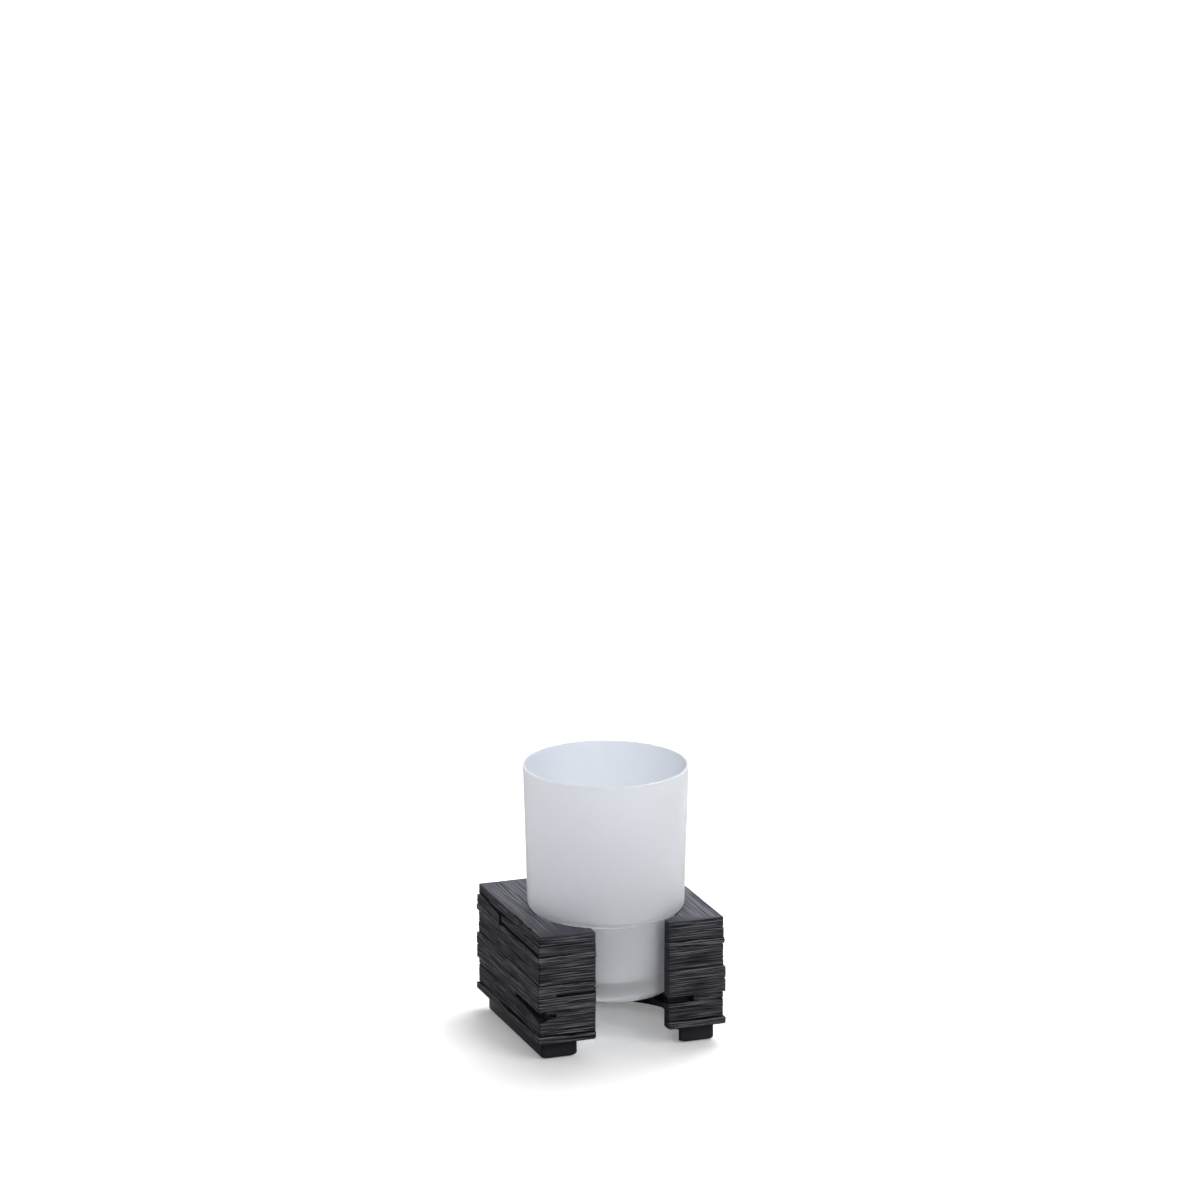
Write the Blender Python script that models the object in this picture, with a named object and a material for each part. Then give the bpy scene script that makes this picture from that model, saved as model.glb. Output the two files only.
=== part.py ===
# Toothbrush tumbler: a frosted glass cup with a stepped-in lower part, dropped into a cast holder
# block that looks like stacked slate, on a smooth foot frame with four non-slip pads.
# Metres, +Z up. The slot of the holder opens towards -Y. The origin is on the floor, in the
# middle of the footprint.

import bpy
import bmesh
from math import acos, asin, cos, pi, radians, sin, sqrt

# Gaps between pieces that touch
SEAT_GAP = 0.0003

# Glass tumbler
RIM_RADIUS = 0.0339
SHOULDER_RADIUS = 0.0323       # wide part, just above its rounded lower corner
SHOULDER_ROUND = 0.0035
SHOULDER_STEP = 0.0039         # how far the lower part stands in from the wide part
LOWER_RADIUS = SHOULDER_RADIUS - SHOULDER_STEP
BOTTOM_ROUND = 0.0030
UPPER_HEIGHT = 0.0614          # shoulder's underside to the rim
LOWER_HEIGHT = 0.0331          # bottom to the shoulder's underside
GLASS_WALL = 0.0022
GLASS_FLOOR = 0.0080
INNER_FLOOR_ROUND = 0.0040
PUNT_MARGIN = 0.0074           # side of the lower part to the shallow hollow in its underside
PUNT_RADIUS = LOWER_RADIUS - PUNT_MARGIN
PUNT_DEPTH = 0.0008

# Holder block
SHOULDER_OVERLAP = 0.0008      # the shoulder's rounded corner bears on the pocket's edge
SIDE_WALL = 0.0085             # pocket to the nominal side face
BACK_WALL = 0.0134             # pocket to the nominal back face
SLOT_WIDTH = 0.0310
SLOT_CHEEK = 0.0041            # straight slot wall, pocket to the nominal front face
BLOCK_HEIGHT = 0.0460
BLOCK_CORNER_ROUND = 0.0008
TOP_EDGE_ROUND = 0.0005
SLOT_LIP_ROUND = 0.0012
BOTTOM_EDGE_ROUND = 0.0009

# Courses of the block, from the bottom up. Heights are shares of the block's height. Each course
# stands out from the nominal faces by a share of one step: right, back, left and front.
COURSE_STEP = 0.0010
JOINT_DEPTH = 0.0004
JOINT_HEIGHT = 0.0005
COURSE_HEIGHT_SHARES = (0.070, 0.172, 0.058, 0.126, 0.118, 0.104, 0.104, 0.065, 0.087, 0.096)
COURSE_REACH_SHARES = (
    (0.95, 0.80, 0.95, 0.80),
    (0.00, 0.10, 0.10, 0.00),
    (0.05, 0.00, 0.10, 0.05),
    (0.90, 0.60, 0.80, 0.50),
    (0.85, 0.75, 0.85, 0.60),
    (0.05, 0.15, 0.15, 0.00),
    (0.00, 0.05, 0.10, 0.05),
    (0.30, 0.60, 0.90, 0.80),
    (0.10, 0.30, 0.70, 0.20),
    (0.00, 0.00, 0.00, 0.00),
)
# Courses that the gaps below lie in or above, counted from 0 at the bottom
BROKEN_COURSE_INDEX = 2
SLIT_COURSE_INDEX = 4
EDGE_GROOVE_COURSE_INDEX = 8

# Gaps where a piece of a course is missing
RIGHT_GAP_LENGTH = 0.0111      # from the slot's wall along the right front face
RIGHT_GAP_DEPTH = 0.0035
SLIT_LENGTH = 0.0174           # from the slot's wall along the left front face
SLIT_HEIGHT = 0.0008
SLIT_DEPTH = 0.0025
LIP_CHIP_SIZE = 0.0014
LIP_CHIP_RISE = 0.0034         # above the slit
LEFT_GAP_LENGTH = 0.0290       # from the front corner along the left face
LEFT_GAP_HEIGHT_BACK = 0.0016
LEFT_GAP_HEIGHT_FRONT = 0.0038
LEFT_GAP_DEPTH = 0.0026
CORNER_GAP_LENGTH = 0.0072     # from the front left corner along the front face
CORNER_GAP_HEIGHT = 0.0021
CORNER_GAP_DROP = 0.0012       # below the top of the gap on the left face
CORNER_GAP_DEPTH = 0.0022
EDGE_GROOVE_LENGTH = 0.0480    # from the front corner along the left face
EDGE_GROOVE_HEIGHT = 0.0011
EDGE_GROOVE_DEPTH = 0.0011
EDGE_NOTCH_WIDTH = 0.0022
EDGE_NOTCH_HEIGHT = 0.0028

# Foot frame under the block
FRAME_HEIGHT = 0.0075          # feet's underside to the top of the plate
PLATE_THICKNESS = 0.0021
FRAME_SIDE_INSET = 0.0024      # behind the block's nominal faces
FRAME_FRONT_INSET = 0.0040
FRAME_BACK_INSET = 0.0046
RAIL_WALL = 0.0030             # thinnest part of the side rails
DRAIN_LEDGE = 0.0057           # plate that shows inside the pocket, all round the drain hole
PLATE_END_INSET = 0.0040       # the plate's two ends, behind the slot's walls
FRAME_CORNER_ROUND = 0.0018
FOOT_EDGE_ROUND = 0.0012
FOOT_CORNER_CUT = 0.0010

# Non-slip pads
PAD_RADIUS = 0.0030
PAD_PROUD = 0.0004
PAD_RECESS_DEPTH = 0.0012
PAD_SIDE_CLEARANCE = 0.0003
PAD_MARGIN = 0.0019            # frame's outer faces to the pad's recess
PAD_EDGE_CUT = 0.0003

# Overrun of a cutter past the face that it cuts, and the distance under which points are one
OVERRUN = 0.0020
MERGE_DISTANCE = 0.0000001

# Segments of the round forms, and how far up a rounded edge its rings of points lie
GLASS_SEGMENTS = 64
GLASS_ROUND_SEGMENTS = 6
POCKET_SEGMENTS = 48
CORNER_SEGMENTS = 4
PAD_SEGMENTS = 32
EDGE_RISE_SHARES = (0.0, 0.13, 0.5, 1.0)

# Faces that meet at less than these angles are shaded as one smooth surface
SMOOTH_ANGLE = radians(35)
BLOCK_SMOOTH_ANGLE = radians(20)

# Sizes that follow from the ones above
slot_half = SLOT_WIDTH / 2
pocket_radius = SHOULDER_RADIUS - SHOULDER_OVERLAP
block_half_width = pocket_radius + SIDE_WALL
axis_to_front = sqrt(pocket_radius ** 2 - slot_half ** 2) + SLOT_CHEEK
axis_to_back = pocket_radius + BACK_WALL
reach_back = COURSE_STEP * max(shares[1] for shares in COURSE_REACH_SHARES)
reach_front = COURSE_STEP * max(shares[3] for shares in COURSE_REACH_SHARES)
extent_front = max(RIM_RADIUS, axis_to_front + reach_front)
extent_back = max(RIM_RADIUS, axis_to_back + reach_back)
axis_y = (extent_front - extent_back) / 2
front_y = axis_y - axis_to_front
back_y = axis_y + axis_to_back
frame_top_z = PAD_PROUD + FRAME_HEIGHT
block_bottom_z = frame_top_z + SEAT_GAP
block_top_z = block_bottom_z + BLOCK_HEIGHT


def add_material(name, color, roughness, metallic=0.0, transmission=0.0):
    material = bpy.data.materials.new(name)
    material.use_nodes = True
    shader = material.node_tree.nodes["Principled BSDF"]
    shader.inputs["Base Color"].default_value = (*color, 1.0)
    shader.inputs["Roughness"].default_value = roughness
    shader.inputs["Metallic"].default_value = metallic
    shader.inputs["Transmission Weight"].default_value = transmission
    material.diffuse_color = (*color, 1.0)
    return material


def add_object(name, bm, material=None, smooth_angle=SMOOTH_ANGLE):
    bmesh.ops.remove_doubles(bm, verts=bm.verts, dist=MERGE_DISTANCE)
    mesh = bpy.data.meshes.new(name)
    bm.to_mesh(mesh)
    bm.free()
    if material:
        mesh.materials.append(material)
    mesh.shade_smooth()
    mesh.set_sharp_from_angle(angle=smooth_angle)
    piece = bpy.data.objects.new(name, mesh)
    bpy.context.collection.objects.link(piece)
    return piece


def loft(rings):
    # Closed solid through rings of points, each counter-clockwise from above, from the bottom up
    bm = bmesh.new()
    loops = [[bm.verts.new(point) for point in ring] for ring in rings]
    for lower, upper in zip(loops, loops[1:]):
        for i in range(len(lower)):
            j = (i + 1) % len(lower)
            bm.faces.new((lower[i], lower[j], upper[j], upper[i]))
    bm.faces.new(reversed(loops[0]))
    bm.faces.new(loops[-1])
    return bm


def turn(profile, segments):
    # Closed solid from a profile of (radius, height) points that starts and ends on the Z axis
    bm = bmesh.new()
    verts = [bm.verts.new((radius, 0.0, height)) for radius, height in profile]
    edges = [bm.edges.new(pair) for pair in zip(verts, verts[1:])]
    bmesh.ops.spin(bm, geom=verts + edges, cent=(0, 0, 0), axis=(0, 0, 1), angle=2 * pi,
                   steps=segments, use_merge=True, use_duplicate=False)
    bmesh.ops.remove_doubles(bm, verts=bm.verts, dist=MERGE_DISTANCE)
    bmesh.ops.recalc_face_normals(bm, faces=bm.faces)
    return bm


def arc(center, radius, start, end, segments):
    # Points of an arc in one plane, from angle start to angle end in radians
    return [(center[0] + radius * cos(start + (end - start) * i / segments),
             center[1] + radius * sin(start + (end - start) * i / segments))
            for i in range(segments + 1)]


def add_cutter(name, low_ring, high_ring, target):
    # Prism between two rings of points that is cut out of the target
    cutter = add_object(name, loft([low_ring, high_ring]))
    cut_with(cutter, target)


def cut_with(cutter, target):
    cutter.hide_render = True
    cutter.display_type = "WIRE"
    cut = target.modifiers.new(cutter.name, "BOOLEAN")
    cut.operation = "DIFFERENCE"
    cut.solver = "EXACT"
    cut.object = cutter


def box_rings(x_range, y_range, z_range):
    return [[(x_range[0], y_range[0], z), (x_range[1], y_range[0], z),
             (x_range[1], y_range[1], z), (x_range[0], y_range[1], z)] for z in z_range]


# Glass tumbler: one turned profile, up the outside, over the rim and down the inside

def seat_height():
    # Height of the shoulder's underside above the block's top. The rounded corner of the shoulder
    # rests on the edge of the pocket, so it sinks a little below the top.
    across = SHOULDER_OVERLAP - SHOULDER_ROUND
    reach = SHOULDER_ROUND + SEAT_GAP
    return sqrt(reach ** 2 - across ** 2) - SHOULDER_ROUND


def tumbler_profile():
    shoulder_z = LOWER_HEIGHT
    rim_z = LOWER_HEIGHT + UPPER_HEIGHT
    rim_round = GLASS_WALL / 2
    inner_lower = LOWER_RADIUS - GLASS_WALL
    inner_shoulder = SHOULDER_RADIUS - GLASS_WALL
    # The inside steps out above the solid shoulder, a wall's thickness over the outer step
    inner_step_z = shoulder_z + GLASS_WALL
    inner_step_round = min(SHOULDER_ROUND, inner_shoulder - inner_lower)
    profile = [(0.0, PUNT_DEPTH), (PUNT_RADIUS - PUNT_DEPTH, PUNT_DEPTH), (PUNT_RADIUS, 0.0)]
    profile += arc((LOWER_RADIUS - BOTTOM_ROUND, BOTTOM_ROUND), BOTTOM_ROUND, -pi / 2, 0.0,
                   GLASS_ROUND_SEGMENTS)
    profile += [(LOWER_RADIUS, shoulder_z)]
    profile += arc((SHOULDER_RADIUS - SHOULDER_ROUND, shoulder_z + SHOULDER_ROUND), SHOULDER_ROUND,
                   -pi / 2, 0.0, GLASS_ROUND_SEGMENTS)
    profile += arc((RIM_RADIUS - rim_round, rim_z - rim_round), rim_round, 0.0, pi,
                   GLASS_ROUND_SEGMENTS)
    profile += arc((inner_shoulder - inner_step_round, inner_step_z + inner_step_round),
                   inner_step_round, 0.0, -pi / 2, GLASS_ROUND_SEGMENTS)
    profile += [(inner_lower, inner_step_z - GLASS_WALL / 2)]
    profile += arc((inner_lower - INNER_FLOOR_ROUND, GLASS_FLOOR + INNER_FLOOR_ROUND),
                   INNER_FLOOR_ROUND, 0.0, -pi / 2, GLASS_ROUND_SEGMENTS)
    profile += [(0.0, GLASS_FLOOR)]
    return profile


def build_tumbler(material):
    tumbler = add_object("glass_tumbler", turn(tumbler_profile(), GLASS_SEGMENTS), material)
    tumbler.location = (0.0, axis_y, block_top_z + seat_height() - LOWER_HEIGHT)


# Holder block: a loft of course outlines, with the pocket and slot in every outline

def block_outline(z, reach, lip_left, lip_right):
    # reach: how far the right, back, left and front faces stand out at this height.
    # lip_left, lip_right: how far the slot's walls fall back at this height.
    right = block_half_width + reach[0]
    back = back_y + reach[1]
    left = -block_half_width - reach[2]
    front = front_y - reach[3]
    lip = min(SLOT_LIP_ROUND, SLOT_CHEEK / 2)
    corner = BLOCK_CORNER_ROUND
    slot_right = slot_half + lip_right
    slot_left = -slot_half - lip_left
    points = arc((slot_right + lip, front + lip), lip, pi, 1.5 * pi, CORNER_SEGMENTS)
    points += arc((right - corner, front + corner), corner, -pi / 2, 0.0, CORNER_SEGMENTS)
    points += arc((right - corner, back - corner), corner, 0.0, pi / 2, CORNER_SEGMENTS)
    points += arc((left + corner, back - corner), corner, pi / 2, pi, CORNER_SEGMENTS)
    points += arc((left + corner, front + corner), corner, pi, 1.5 * pi, CORNER_SEGMENTS)
    points += arc((slot_left - lip, front + lip), lip, -pi / 2, 0.0, CORNER_SEGMENTS)
    # The pocket, from the slot's left wall round the back to its right wall
    start = -pi / 2 - (pi / 2 - acos(-slot_left / pocket_radius))
    end = -2.5 * pi + (pi / 2 - acos(slot_right / pocket_radius))
    points += arc((0.0, axis_y), pocket_radius, start, end, POCKET_SEGMENTS)
    return [(x, y, z) for x, y in points]


def round_over(distance, radius):
    # How far a rounded edge has fallen back at this distance from the end face
    if distance >= radius:
        return 0.0
    return radius - sqrt(radius ** 2 - (radius - distance) ** 2)


def course_levels():
    # Height of each course's underside, and last the top
    levels = [block_bottom_z]
    for share in COURSE_HEIGHT_SHARES:
        levels.append(levels[-1] + share * BLOCK_HEIGHT / sum(COURSE_HEIGHT_SHARES))
    return levels


def block_rings():
    levels = course_levels()
    reaches = [[share * COURSE_STEP for share in shares] for shares in COURSE_REACH_SHARES]
    heights = []
    for i, reach in enumerate(reaches):
        below, above = levels[i], levels[i + 1]
        if i == 0:
            heights += [(below + BOTTOM_EDGE_ROUND * share, reach) for share in EDGE_RISE_SHARES]
        else:
            joint = [min(pair) - JOINT_DEPTH for pair in zip(reach, reaches[i - 1])]
            heights += [(below, joint), (below + JOINT_HEIGHT / 2, reach)]
        if i == len(reaches) - 1:
            heights += [(above - SLOT_LIP_ROUND * share, reach)
                        for share in reversed(EDGE_RISE_SHARES)]
        else:
            heights += [(above - JOINT_HEIGHT / 2, reach)]
    rings = []
    for z, reach in heights:
        from_bottom = z - levels[0]
        from_top = levels[-1] - z
        fall = round_over(from_bottom, BOTTOM_EDGE_ROUND) + round_over(from_top, TOP_EDGE_ROUND)
        lip_bottom = round_over(from_bottom, BOTTOM_EDGE_ROUND)
        lip_top = round_over(from_top, SLOT_LIP_ROUND)
        rings.append(block_outline(z, [side - fall for side in reach], lip_bottom + lip_top,
                                   lip_bottom))
    return rings


def cut_right_gap(block, levels):
    # The thin course is missing beside the slot, on the right front face
    low, high = levels[BROKEN_COURSE_INDEX], levels[BROKEN_COURSE_INDEX + 1]
    rings = box_rings((slot_half - OVERRUN, slot_half + RIGHT_GAP_LENGTH),
                      (front_y - OVERRUN, front_y + RIGHT_GAP_DEPTH), (low, high))
    add_cutter("cut_right_gap", *rings, block)


def cut_slit(block, levels):
    # Thin slit between two courses on the left front face, and a chip in the slot's edge above it
    z = levels[SLIT_COURSE_INDEX]
    rings = box_rings((-slot_half - SLIT_LENGTH, -slot_half + OVERRUN),
                      (front_y - OVERRUN, front_y + SLIT_DEPTH), (z, z + SLIT_HEIGHT))
    add_cutter("cut_slit", *rings, block)
    chip_z = z + LIP_CHIP_RISE
    chip = box_rings((-slot_half - LIP_CHIP_SIZE, -slot_half + OVERRUN),
                     (front_y - OVERRUN, front_y + LIP_CHIP_SIZE),
                     (chip_z, chip_z + LIP_CHIP_SIZE))
    add_cutter("cut_lip_chip", *chip, block)


def cut_left_gap(block, levels):
    # A wedge of the thin course has broken off the left face, and the break runs round the corner
    top = levels[BROKEN_COURSE_INDEX + 1] - JOINT_HEIGHT / 2
    face = -block_half_width
    outer = face - OVERRUN
    inner = face + LEFT_GAP_DEPTH
    start, end = front_y - OVERRUN, front_y + LEFT_GAP_LENGTH
    low = [(outer, start, top - LEFT_GAP_HEIGHT_FRONT), (inner, start, top - LEFT_GAP_HEIGHT_FRONT),
           (inner, end, top - LEFT_GAP_HEIGHT_BACK), (outer, end, top - LEFT_GAP_HEIGHT_BACK)]
    high = [(outer, start, top), (inner, start, top), (inner, end, top), (outer, end, top)]
    add_cutter("cut_left_gap", low, high, block)
    # The part on the front face narrows towards its broken end
    high_z = top - CORNER_GAP_DROP
    low_z = high_z - CORNER_GAP_HEIGHT
    mid_z = (high_z + low_z) / 2
    tip = face + CORNER_GAP_LENGTH
    front = front_y - OVERRUN
    back = front_y + CORNER_GAP_DEPTH
    low = [(outer, front, low_z), (tip, front, mid_z), (tip, back, mid_z), (outer, back, low_z)]
    high = [(outer, front, high_z), (tip, front, high_z), (tip, back, high_z), (outer, back, high_z)]
    add_cutter("cut_corner_gap", low, high, block)


def cut_edge_groove(block, levels):
    # Deep joint near the top of the left face, which starts at a notch
    z = levels[EDGE_GROOVE_COURSE_INDEX]
    outer = -block_half_width - OVERRUN
    inner = -block_half_width + EDGE_GROOVE_DEPTH
    end = front_y + EDGE_GROOVE_LENGTH
    groove = box_rings((outer, inner), (front_y - OVERRUN, end), (z, z + EDGE_GROOVE_HEIGHT))
    add_cutter("cut_edge_groove", *groove, block)
    notch = box_rings((outer, inner - EDGE_GROOVE_DEPTH / 2), (end - EDGE_NOTCH_WIDTH, end),
                      (z - EDGE_GROOVE_HEIGHT / 2, z + EDGE_NOTCH_HEIGHT))
    add_cutter("cut_edge_notch", *notch, block)


def build_block(material):
    block = add_object("holder_block", loft(block_rings()), material, BLOCK_SMOOTH_ANGLE)
    levels = course_levels()
    cut_right_gap(block, levels)
    cut_slit(block, levels)
    cut_left_gap(block, levels)
    cut_edge_groove(block, levels)


# Foot frame: side and back rails with broad front feet, under a thin plate with the drain hole

def frame_limits():
    # Half width, front and back of the frame, measured from the tumbler's axis
    return (block_half_width - FRAME_SIDE_INSET, axis_to_front - FRAME_FRONT_INSET,
            axis_to_back - FRAME_BACK_INSET)


def relief_radius():
    half_width, _, to_back = frame_limits()
    return min(half_width, to_back) - RAIL_WALL


def rail_opening(inset):
    # Half the angle of the opening between the feet, where the rails' inner circle meets the front
    _, to_front, _ = frame_limits()
    return acos((to_front - inset - FOOT_CORNER_CUT) / (relief_radius() + inset))


def plate_opening():
    return asin((slot_half + PLATE_END_INSET) / (pocket_radius - DRAIN_LEDGE))


def frame_outline(z, inset, inner_radius, inner_opening):
    # C-shaped outline, open at the front. The round inner side is about the tumbler's axis.
    half_width, to_front, to_back = frame_limits()
    half_width -= inset
    to_front -= inset
    to_back -= inset
    corner = FRAME_CORNER_ROUND
    front, back = axis_y - to_front, axis_y + to_back
    foot_edge = (relief_radius() + inset) * sin(rail_opening(inset)) + FOOT_CORNER_CUT
    points = [(foot_edge, front)]
    points += arc((half_width - corner, front + corner), corner, -pi / 2, 0.0, CORNER_SEGMENTS)
    points += arc((half_width - corner, back - corner), corner, 0.0, pi / 2, CORNER_SEGMENTS)
    points += arc((corner - half_width, back - corner), corner, pi / 2, pi, CORNER_SEGMENTS)
    points += arc((corner - half_width, front + corner), corner, pi, 1.5 * pi, CORNER_SEGMENTS)
    points += [(-foot_edge, front)]
    points += arc((0.0, axis_y), inner_radius + inset, -pi / 2 - inner_opening,
                  -2.5 * pi + inner_opening, POCKET_SEGMENTS)
    return [(x, y, z) for x, y in points]


def frame_rings():
    foot_z = PAD_PROUD
    plate_z = frame_top_z - PLATE_THICKNESS
    rail_radius, drain_radius = relief_radius(), pocket_radius - DRAIN_LEDGE
    rings = []
    for share in EDGE_RISE_SHARES:
        rise = FOOT_EDGE_ROUND * share
        inset = round_over(rise, FOOT_EDGE_ROUND)
        rings.append(frame_outline(foot_z + rise, inset, rail_radius, rail_opening(inset)))
    rings.append(frame_outline(plate_z, 0.0, rail_radius, rail_opening(0.0)))
    for z in (plate_z, frame_top_z):
        rings.append(frame_outline(z, 0.0, drain_radius, plate_opening()))
    return rings


def pad_places():
    half_width, to_front, to_back = frame_limits()
    inset = PAD_MARGIN + PAD_RADIUS + PAD_SIDE_CLEARANCE
    x = half_width - inset
    return {
        "front_left": (-x, axis_y - to_front + inset),
        "front_right": (x, axis_y - to_front + inset),
        "back_left": (-x, axis_y + to_back - inset),
        "back_right": (x, axis_y + to_back - inset),
    }


def build_frame(material):
    frame = add_object("foot_frame", loft(frame_rings()), material)
    recess_radius = PAD_RADIUS + PAD_SIDE_CLEARANCE
    recess_top = PAD_PROUD + PAD_RECESS_DEPTH
    for place, (x, y) in pad_places().items():
        rings = [[(px, py, z) for px, py in arc((x, y), recess_radius, 0.0, 2 * pi, PAD_SEGMENTS)[:-1]]
                 for z in (PAD_PROUD - OVERRUN, recess_top)]
        add_cutter("cut_pad_" + place, *rings, frame)


def build_pads(material):
    thickness = PAD_PROUD + PAD_RECESS_DEPTH - SEAT_GAP
    profile = [(0.0, 0.0), (PAD_RADIUS - PAD_EDGE_CUT, 0.0), (PAD_RADIUS, PAD_EDGE_CUT),
               (PAD_RADIUS, thickness), (0.0, thickness)]
    for place, (x, y) in pad_places().items():
        pad = add_object("pad_" + place, turn(profile, PAD_SEGMENTS), material)
        pad.location = (x, y, 0.0)


def main():
    for old in list(bpy.data.objects):
        bpy.data.objects.remove(old, do_unlink=True)
    frosted_glass = add_material("frosted_glass", (0.80, 0.83, 0.87), 0.45, transmission=0.6)
    slate_resin = add_material("slate_look_resin", (0.035, 0.036, 0.041), 0.55)
    smooth_resin = add_material("smooth_resin", (0.018, 0.019, 0.022), 0.40)
    pad_rubber = add_material("pad_rubber", (0.02, 0.02, 0.02), 0.85)
    build_tumbler(frosted_glass)
    build_block(slate_resin)
    build_frame(smooth_resin)
    build_pads(pad_rubber)


main()
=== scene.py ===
from math import acos, cos, pi, radians, sin, sqrt

import bmesh
import bpy
import numpy as np
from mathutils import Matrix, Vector, noise
from mathutils.geometry import delaunay_2d_cdt


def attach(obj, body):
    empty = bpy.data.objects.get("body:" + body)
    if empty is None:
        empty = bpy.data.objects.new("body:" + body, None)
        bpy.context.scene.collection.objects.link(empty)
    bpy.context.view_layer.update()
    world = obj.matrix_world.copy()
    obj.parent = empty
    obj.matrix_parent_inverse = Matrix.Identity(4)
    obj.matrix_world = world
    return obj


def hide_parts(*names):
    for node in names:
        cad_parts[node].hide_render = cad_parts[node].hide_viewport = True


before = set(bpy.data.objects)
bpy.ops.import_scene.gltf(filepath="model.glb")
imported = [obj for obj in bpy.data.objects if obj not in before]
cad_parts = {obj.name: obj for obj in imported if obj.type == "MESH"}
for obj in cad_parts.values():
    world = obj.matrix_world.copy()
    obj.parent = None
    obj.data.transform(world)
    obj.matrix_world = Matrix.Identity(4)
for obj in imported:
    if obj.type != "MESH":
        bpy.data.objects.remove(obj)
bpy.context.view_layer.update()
mm = 0.001  # sizes below are in millimetres
print("frame loaded:", ", ".join(sorted(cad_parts)))


def plug(tree, value, socket):
    if isinstance(value, bpy.types.NodeSocket):
        tree.links.new(value, socket)
    else:
        socket.default_value = value


def addNode(tree, kind, inputs=None, **settings):
    node = tree.nodes.new(kind)
    for name, value in settings.items():
        setattr(node, name, value)
    for name, value in (inputs or {}).items():
        plug(tree, value, node.inputs[name])
    return node


def maths(tree, operation, *values):
    node = addNode(tree, "ShaderNodeMath", operation=operation)
    for socket, value in zip(node.inputs, values):
        plug(tree, value, socket)
    return node.outputs[0]


def product(tree, *values):
    result = values[0]
    for value in values[1:]:
        result = maths(tree, "MULTIPLY", result, value)
    return result


def remap(tree, value, fromLow, fromHigh, toLow, toHigh):
    node = addNode(tree, "ShaderNodeMapRange", {
        "Value": value, "From Min": fromLow, "From Max": fromHigh, "To Min": toLow, "To Max": toHigh})
    return node.outputs["Result"]


def mixColors(tree, factor, first, second):
    node = addNode(tree, "ShaderNodeMix", data_type="RGBA")
    for number, value in zip((0, 6, 7), (factor, first, second)):
        plug(tree, value, node.inputs[number])
    return node.outputs[2]


def mixFloats(tree, factor, first, second):
    node = addNode(tree, "ShaderNodeMix", data_type="FLOAT")
    for number, value in zip((0, 2, 3), (factor, first, second)):
        plug(tree, value, node.inputs[number])
    return node.outputs[0]


def addSockets(tree, inOut, sockets):
    for name, kind, value in sockets:
        socket = tree.interface.new_socket(name=name, in_out=inOut, socket_type="NodeSocket" + kind)
        if value is not None:
            socket.default_value = value


def startTree(name, sizes):
    # Geometry Nodes with a named input for every size, and one for the material
    tree = bpy.data.node_groups.new(name, "GeometryNodeTree")
    geometry = ("Geometry", "Geometry", None)
    addSockets(tree, "INPUT", [geometry] + [(size, "Float", value) for size, value in sizes.items()]
               + [("Material", "Material", None)])
    addSockets(tree, "OUTPUT", [geometry])
    return tree, tree.nodes.new("NodeGroupInput").outputs


def endTree(tree, geometry, material):
    real = addNode(tree, "GeometryNodeRealizeInstances", {"Geometry": geometry}).outputs["Geometry"]
    dressed = addNode(tree, "GeometryNodeSetMaterial", {"Geometry": real, "Material": material})
    plug(tree, dressed.outputs["Geometry"], tree.nodes.new("NodeGroupOutput").inputs["Geometry"])
    return tree


def setTreeInputs(modifier, values):
    for item in modifier.node_group.interface.items_tree:
        if item.item_type == "SOCKET" and item.in_out == "INPUT" and item.name in values:
            modifier[item.identifier] = values[item.name]


def addPiece(name, mesh, material, smoothAngle=35):
    mesh.materials.append(material)
    mesh.shade_smooth()
    mesh.set_sharp_from_angle(angle=radians(smoothAngle))
    piece = bpy.data.objects.new(name, mesh)
    bpy.context.scene.collection.objects.link(piece)
    return piece


def bakeModifiers(piece, smoothAngle=35):
    # the modifiers' result becomes the piece's own plain mesh
    graph = bpy.context.evaluated_depsgraph_get()
    plain = bpy.data.meshes.new_from_object(piece.evaluated_get(graph), depsgraph=graph)
    piece.modifiers.clear()
    piece.data = plain
    plain.name = piece.name
    plain.shade_smooth()
    plain.set_sharp_from_angle(angle=radians(smoothAngle))


def arc(centerX, centerY, radius, start, end, steps):
    return [(centerX + radius * cos(start + (end - start) * i / steps),
             centerY + radius * sin(start + (end - start) * i / steps)) for i in range(steps + 1)]


def between(first, second, steps):
    # points between two ends, without the ends
    return [tuple(a + (b - a) * i / steps for a, b in zip(first, second)) for i in range(1, steps)]


def roundOver(distance, radius):
    if distance >= radius:
        return 0.0
    return radius - sqrt(radius ** 2 - (radius - distance) ** 2)


# Shared finish: two scales of mottling, for colour, roughness and a fine height

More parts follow.
